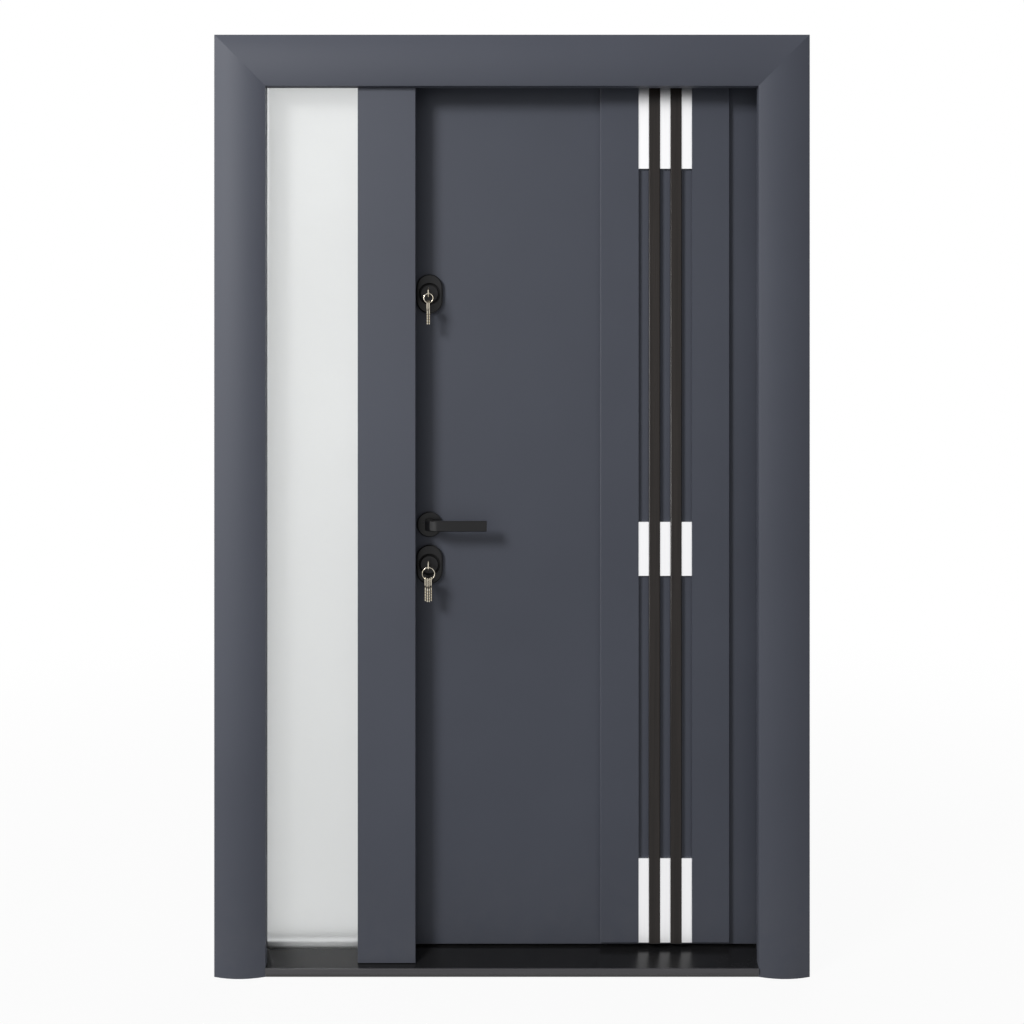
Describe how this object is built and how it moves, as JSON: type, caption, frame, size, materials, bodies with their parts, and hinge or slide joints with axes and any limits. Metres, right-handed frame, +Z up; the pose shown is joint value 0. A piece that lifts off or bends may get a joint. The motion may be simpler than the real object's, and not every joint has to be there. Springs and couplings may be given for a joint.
{
  "type": "steel entrance door with sidelight",
  "caption": "Anthracite steel entrance door in a rounded architrave frame with a frosted sidelight, a raised panel with bright inserts, lever handles and keyed locks; the leaf opens inward.",
  "frame": {"origin": "on the floor, on the underside of the threshold, at the middle of the set's width and in the plane of the wall's outer face", "axes": "+X to the right seen from outside, +Y into the building, +Z up"},
  "size_m": [1.34, 0.1849, 2.12],
  "materials": {
    "frame_paint": "satin anthracite powder coat with a fine texture",
    "leaf_paint": "satin anthracite powder coat with a fine texture",
    "threshold_black": "glossy black, lightly scuffed",
    "nosing_grey": "dark grey anodised, satin",
    "frosted_glass": "satin-frosted white laminated glass",
    "slat_wood": "dark wenge, fine upright grain, satin oil",
    "insert_steel": "bright satin stainless, brushed along its height",
    "fitting_black": "satin black",
    "key_nickel": "bright nickel silver",
    "lock_steel": "brushed zinc-plated steel",
    "hinge_steel": "anthracite, as the frame",
    "seal_rubber": "matt black"
  },
  "bodies": {
    "frame": {"left_architrave": "frame_paint", "right_architrave": "frame_paint", "head_architrave": "frame_paint", "left_jamb": "frame_paint", "right_jamb": "frame_paint", "frame_head": "frame_paint", "mullion_post": "frame_paint", "mullion_cover": "frame_paint", "sidelight_bead": "frame_paint", "threshold": "threshold_black", "threshold_nosing": "nosing_grey", "sidelight_glass": "frosted_glass", "strike_plate": "lock_steel", "frame_seal": "seal_rubber", "hinge_bottom_frame_half": "hinge_steel", "hinge_middle_frame_half": "hinge_steel", "hinge_top_frame_half": "hinge_steel"},
    "leaf": {"outer_facing": "leaf_paint", "inner_facing": "leaf_paint", "leaf_case": "leaf_paint", "raised_panel": "leaf_paint", "dark_slat_left": "slat_wood", "dark_slat_right": "slat_wood", "bright_inserts_top": "insert_steel", "bright_inserts_middle": "insert_steel", "bright_inserts_bottom": "insert_steel", "rose_outside": "fitting_black", "rose_inside": "fitting_black", "lock_faceplate": "lock_steel", "upper_escutcheon_outside": "fitting_black", "upper_escutcheon_inside": "fitting_black", "lower_escutcheon_outside": "fitting_black", "lower_escutcheon_inside": "fitting_black", "hinge_bottom_leaf_half": "hinge_steel", "hinge_middle_leaf_half": "hinge_steel", "hinge_top_leaf_half": "hinge_steel"},
    "lever": {"lever_outside": "fitting_black", "lever_inside": "fitting_black"},
    "upper_key": {"upper_lock_plug": "fitting_black", "upper_key": "key_nickel", "upper_key_ring": "key_nickel", "upper_spare_keys": "key_nickel"},
    "lower_key": {"lower_lock_plug": "fitting_black", "lower_key": "key_nickel", "lower_key_ring": "key_nickel", "lower_spare_keys": "key_nickel"}
  },
  "joints": [
    {"name": "door_swing", "type": "hinge", "parent": "frame", "child": "leaf", "pos_m": [0.578, 0.116, 1.03], "axis": [0, 0, -1], "range_deg": [0, 100]},
    {"name": "lever_turn", "type": "hinge", "parent": "leaf", "child": "lever", "pos_m": [-0.19, 0.0765, 1.012], "axis": [0, 1, 0], "range_deg": [0, 35], "stiffness_Nm_per_rad": 3, "springref_deg": -17.19},
    {"name": "upper_key_turn", "type": "hinge", "parent": "leaf", "child": "upper_key", "pos_m": [-0.19, 0.04, 1.543], "axis": [0, -1, 0], "range_deg": [0, 90]},
    {"name": "lower_key_turn", "type": "hinge", "parent": "leaf", "child": "lower_key", "pos_m": [-0.19, 0.04, 0.92], "axis": [0, -1, 0], "range_deg": [0, 90]}
  ]
}
